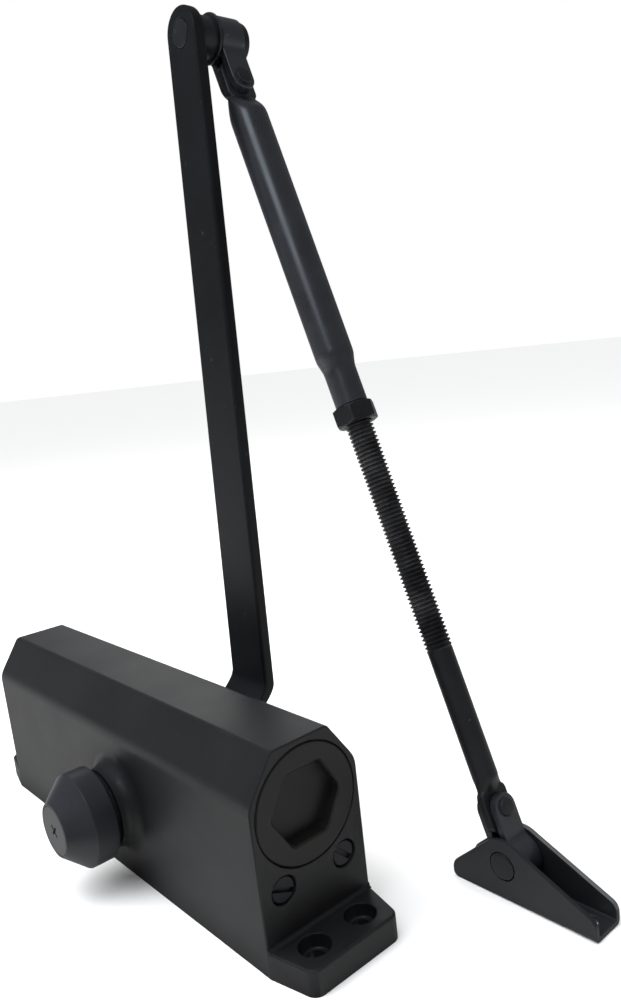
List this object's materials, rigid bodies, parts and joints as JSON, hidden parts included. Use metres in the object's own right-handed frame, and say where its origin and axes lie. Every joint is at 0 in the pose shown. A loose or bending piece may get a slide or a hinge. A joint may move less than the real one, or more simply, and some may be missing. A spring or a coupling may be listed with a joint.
{
  "type": "door closer",
  "caption": "Surface-mounted hydraulic door closer: rack-and-pinion body with footed ends, end plugs and speed valves, folding two-piece arm with adjustable rod and shoe.",
  "frame": {"origin": "centre of the four fixing holes, on the fixing face of the body", "axes": "+Z out of the fixing face, +X along the body towards the speed valves, +Y towards the arm"},
  "size_m": [0.2793, 0.115, 0.3101],
  "materials": {
    "body_paint": "satin black powder coat, fine texture",
    "arm_paint": "satin black powder coat, smoother than the body",
    "plug_steel": "satin black coat over turned steel",
    "dark_steel": "blackened steel, lightly oiled",
    "bright_steel": "ground and hardened steel",
    "spring_steel": "oil-tempered spring wire",
    "bronze_bush": "sintered bronze",
    "seal_rubber": "nitrile rubber, matt",
    "cap_plastic": "moulded black plastic, satin"
  },
  "bodies": {
    "closer_body": {"housing": "body_paint", "end_plug_right": "plug_steel", "end_plug_left": "plug_steel", "plug_o_ring_right": "seal_rubber", "plug_o_ring_left": "seal_rubber", "bearing_arm_side": "bronze_bush", "bearing_cap_side": "bronze_bush", "shaft_seal_arm_side": "seal_rubber", "shaft_seal_cap_side": "seal_rubber", "gland_nut_arm_side": "dark_steel", "gland_nut_cap_side": "dark_steel", "main_spring": "spring_steel", "spring_seat": "bright_steel"},
    "spindle_and_arm": {"pinion_shaft": "bright_steel", "pinion_cap": "cap_plastic", "cap_screw": "dark_steel", "main_arm": "arm_paint", "arm_washer": "dark_steel", "arm_screw": "dark_steel", "elbow_rivet": "arm_paint", "elbow_spacer": "arm_paint", "elbow_washer": "arm_paint"},
    "piston_set": {"piston": "bright_steel", "ball_retainer": "dark_steel"},
    "check_valve_ball": {"check_ball": "bright_steel"},
    "closing_valve": {"closing_speed_valve": "dark_steel", "closing_valve_o_ring": "seal_rubber"},
    "latching_valve": {"latching_speed_valve": "dark_steel", "latching_valve_o_ring": "seal_rubber"},
    "elbow_knuckle": {"upper_knuckle": "arm_paint", "upper_tilt_pin": "arm_paint"},
    "forearm_upper": {"forearm_tube": "arm_paint"},
    "forearm_lower": {"adjusting_rod": "arm_paint"},
    "jam_nut": {"lock_nut": "dark_steel"},
    "shoe_knuckle": {"lower_knuckle": "arm_paint", "lower_tilt_pin": "arm_paint"},
    "shoe_body": {"shoe": "arm_paint", "shoe_rivet": "arm_paint"}
  },
  "joints": [
    {"name": "pinion_turn", "type": "hinge", "parent": "closer_body", "child": "spindle_and_arm", "pos_m": [0.0085, 0, 0.0283], "axis": [0, -1, 0], "range_deg": [0, 160], "stiffness_Nm_per_rad": 4, "springref_deg": -57.3},
    {"name": "piston_slide", "type": "slide", "parent": "closer_body", "child": "piston_set", "axis": [-1, 0, 0], "range_m": [0, 0.02515], "deforming": ["main_spring"]},
    {"name": "check_ball_lift", "type": "slide", "parent": "piston_set", "child": "check_valve_ball", "axis": [1, 0, 0], "range_m": [0, 0.001]},
    {"name": "closing_valve_turn", "type": "hinge", "parent": "closer_body", "child": "closing_valve", "pos_m": [0.09, -0.01245, 0.0254], "axis": [1, 0, 0], "range_deg": [-180, 360]},
    {"name": "latching_valve_turn", "type": "hinge", "parent": "closer_body", "child": "latching_valve", "pos_m": [0.09, 0.01245, 0.0254], "axis": [1, 0, 0], "range_deg": [-180, 360]},
    {"name": "elbow_swing", "type": "hinge", "parent": "spindle_and_arm", "child": "elbow_knuckle", "pos_m": [0.02041, 0.0603, 0.30104], "axis": [0, -1, 0], "range_deg": [-8, 150]},
    {"name": "forearm_tilt", "type": "hinge", "parent": "elbow_knuckle", "child": "forearm_upper", "pos_m": [0.02656, 0.0603, 0.28466], "axis": [0.9361, 0, 0.3518], "range_deg": [-5, 25]},
    {"name": "length_adjust", "type": "slide", "parent": "forearm_upper", "child": "forearm_lower", "axis": [0.3518, 0, -0.9361], "range_m": [-0.06, 0.018]},
    {"name": "lock_nut_turn", "type": "hinge", "parent": "forearm_upper", "child": "jam_nut", "pos_m": [0.07241, 0.0603, 0.16269], "axis": [0.3518, 0, -0.9361], "range_deg": [0, 720]},
    {"name": "shoe_tilt", "type": "hinge", "parent": "forearm_lower", "child": "shoe_knuckle", "pos_m": [0.12283, 0.0603, 0.02855], "axis": [0.9361, 0, 0.3518], "range_deg": [-15, 15]},
    {"name": "shoe_swing", "type": "hinge", "parent": "shoe_knuckle", "child": "shoe_body", "pos_m": [0.12899, 0.0603, 0.01217], "axis": [0, 1, 0], "range_deg": [-50, 28]}
  ],
  "couplings": [
    {"joint": "piston_slide", "follows": "pinion_turn", "m_per_rad": 0.009}
  ]
}
